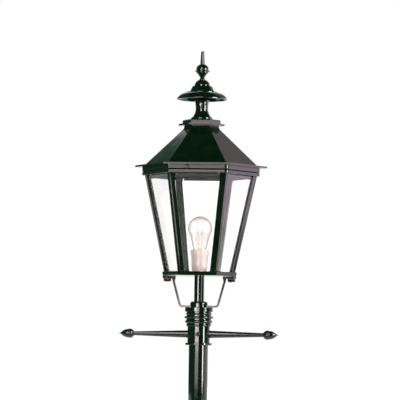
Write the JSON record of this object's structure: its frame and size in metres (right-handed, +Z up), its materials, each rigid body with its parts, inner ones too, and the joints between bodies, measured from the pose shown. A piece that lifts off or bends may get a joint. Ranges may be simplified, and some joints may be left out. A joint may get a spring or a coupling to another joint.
{
  "type": "post top lantern",
  "caption": "Hexagonal glazed street lantern on a round post, with a turned collar, a ladder bar with acorn ends, a vented canopy and finial, and a clear bulb in a porcelain holder.",
  "frame": {"origin": "on the lantern's axis at the lower end of the post stub", "axes": "+Z up along the axis, +X along the right arm of the ladder bar, -Y towards the front pane"},
  "size_m": [0.399, 0.2876, 0.8968],
  "materials": {
    "green_paint": "gloss",
    "zinc_steel": "satin",
    "pane_glass": "clear",
    "porcelain": "gloss",
    "brass": "satin",
    "lamp_glass": "clear",
    "lamp_cap_metal": "satin",
    "black_insulator": "gloss",
    "wire_metal": "satin",
    "tungsten": "matt"
  },
  "bodies": {
    "post": {"post_tube": "green_paint"},
    "lantern": {"acorn_left": "green_paint", "acorn_right": "green_paint", "bar_screws": "zinc_steel", "base_tray": "green_paint", "centre_contact": "brass", "collar": "green_paint", "collar_screws": "green_paint", "corner_bar_front_left": "green_paint", "corner_bar_front_right": "green_paint", "corner_bar_left": "green_paint", "corner_bar_rear_left": "green_paint", "corner_bar_rear_right": "green_paint", "corner_bar_right": "green_paint", "dome_nut": "green_paint", "frame_screws": "zinc_steel", "glass_pane_front": "pane_glass", "glass_pane_front_left": "pane_glass", "glass_pane_front_right": "pane_glass", "glass_pane_rear": "pane_glass", "glass_pane_rear_left": "pane_glass", "glass_pane_rear_right": "pane_glass", "glazing_clips": "zinc_steel", "hinge_leaf_frame": "green_paint", "hinge_pin": "green_paint", "holder_body": "porcelain", "holder_ring": "porcelain", "holder_seat": "zinc_steel", "holder_terminals": "brass", "ladder_arm_left": "green_paint", "ladder_arm_right": "green_paint", "screw_shell": "brass", "stay_nuts": "green_paint", "stay_strap": "green_paint", "stay_studs": "zinc_steel", "stem_locknut": "zinc_steel", "stem_tube": "green_paint", "terminal_screws": "zinc_steel", "top_ring": "green_paint"},
    "roof": {"roof": "green_paint", "roof_cap": "green_paint", "chimney_neck": "green_paint", "canopy": "green_paint", "finial_base": "green_paint", "finial_ball": "green_paint", "finial_spike": "green_paint", "tie_bridge": "zinc_steel", "tie_nut": "zinc_steel", "tie_rod": "zinc_steel", "hinge_leaf_roof": "green_paint", "hinge_screws_roof": "zinc_steel"},
    "roof_screw": {"roof_screw": "green_paint"},
    "lamp": {"lamp_glass": "lamp_glass", "lamp_cap": "lamp_cap_metal", "lamp_insulator": "black_insulator", "lamp_tip": "brass", "lamp_stem": "lamp_glass", "lamp_leads": "wire_metal", "filament": "tungsten"}
  },
  "joints": [
    {"name": "collar_turn", "type": "hinge", "parent": "post", "child": "lantern", "pos_m": [0, 0, 0.2], "axis": [0, 0, 1], "range_deg": [-180, 180]},
    {"name": "roof_hinge", "type": "hinge", "parent": "lantern", "child": "roof", "pos_m": [0, 0.13547, 0.59215], "axis": [-1, 0, 0], "range_deg": [0, 100]},
    {"name": "roof_screw_turn", "type": "hinge", "parent": "roof", "child": "roof_screw", "pos_m": [-0.0245, -0.12947, 0.59805], "axis": [0, -1, 0], "range_deg": [0, 1080]},
    {"name": "lamp_lift", "type": "slide", "parent": "lantern", "child": "lamp", "axis": [0, 0, 1], "range_m": [0, 0.045]}
  ]
}
